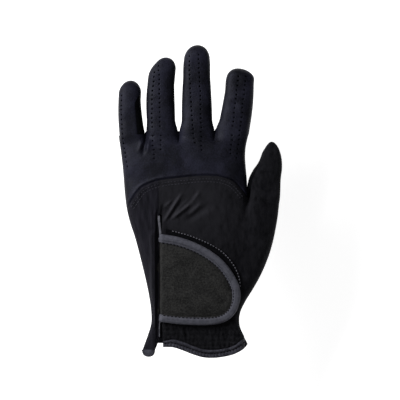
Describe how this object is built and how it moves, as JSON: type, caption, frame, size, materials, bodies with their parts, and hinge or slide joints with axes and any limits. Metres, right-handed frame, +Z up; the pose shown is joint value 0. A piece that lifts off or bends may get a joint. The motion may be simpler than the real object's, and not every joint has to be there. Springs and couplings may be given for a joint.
{
  "type": "golf glove",
  "caption": "Black left-hand golf glove lying palm down: leather knuckles and fingers with air holes, stretch back, hook-and-loop tab over a slit, gathered wrist.",
  "frame": {"origin": "on the ground under the middle of the glove, which lies on its palm", "axes": "+Z up out of the back of the hand, +Y towards the fingertips, +X towards the thumb"},
  "size_m": [0.1299, 0.2497, 0.022],
  "materials": {
    "leather": "soft bluish-black synthetic leather, fine grain, air holes",
    "palm_leather": "soft black sheepskin-like leather, fine grain",
    "side_strip": "black stretch strip, matte",
    "back_fabric": "black stretch woven fabric, matte",
    "side_fabric": "bluish-black stretch knit, matte",
    "elastic": "gathered black elastic",
    "hem_tape": "dark woven tape, stitched",
    "slit_tape": "grey woven tape",
    "tab_tape": "purple-grey woven tape, stitched",
    "felt": "dark grey-green brushed felt",
    "loop_pile": "black loop pile",
    "hook_tape": "black hook tape"
  },
  "bodies": {
    "hand": {"palm_leather": "palm_leather", "knuckle_leather": "leather", "back_panel": "back_fabric", "side_panel": "side_fabric", "wrist_elastic": "elastic", "cuff_binding_back": "hem_tape", "cuff_binding_palm": "hem_tape", "slit_binding": "slit_tape", "tail_binding": "hem_tape", "loop_pad": "loop_pile", "tab_anchor": "felt"},
    "tab": {"closure_tab": "felt", "tab_binding": "tab_tape", "hook_pad": "hook_tape"},
    "little_finger": {"little_finger_back": "leather", "little_finger_front": "palm_leather", "fourchette_little_by_ring": "side_strip"},
    "ring_finger": {"ring_finger_back": "leather", "ring_finger_front": "palm_leather", "fourchette_ring_by_little": "side_strip", "fourchette_ring_by_middle": "side_strip"},
    "middle_finger": {"middle_finger_back": "leather", "middle_finger_front": "palm_leather", "fourchette_middle_by_ring": "side_strip", "fourchette_middle_by_index": "side_strip"},
    "index_finger": {"index_finger_back": "leather", "index_finger_front": "palm_leather", "fourchette_index_by_middle": "side_strip"},
    "thumb": {"thumb_back": "leather", "thumb_front": "palm_leather", "thumb_gusset": "side_strip"}
  },
  "joints": [
    {"name": "tab_hinge", "type": "hinge", "parent": "hand", "child": "tab", "pos_m": [-0.0326, -0.0609, 0.01951], "axis": [0, -0.9966, -0.0827], "range_deg": [0, 150]},
    {"name": "little_bend", "type": "hinge", "parent": "hand", "child": "little_finger", "pos_m": [-0.0543, 0.053, 0], "axis": [-0.999, -0.0449, 0], "range_deg": [0, 80]},
    {"name": "ring_bend", "type": "hinge", "parent": "hand", "child": "ring_finger", "pos_m": [-0.0309, 0.056, 0], "axis": [-0.9999, -0.015, 0], "range_deg": [0, 80]},
    {"name": "middle_bend", "type": "hinge", "parent": "hand", "child": "middle_finger", "pos_m": [-0.0023, 0.056, 0], "axis": [-0.9999, -0.014, 0], "range_deg": [0, 80]},
    {"name": "index_bend", "type": "hinge", "parent": "hand", "child": "index_finger", "pos_m": [0.0266, 0.056, 0], "axis": [-0.9903, 0.1387, 0], "range_deg": [0, 80]},
    {"name": "thumb_bend", "type": "hinge", "parent": "hand", "child": "thumb", "pos_m": [0.0509, 0.0006, 0], "axis": [-0.9819, 0.1895, 0], "range_deg": [0, 50]}
  ]
}
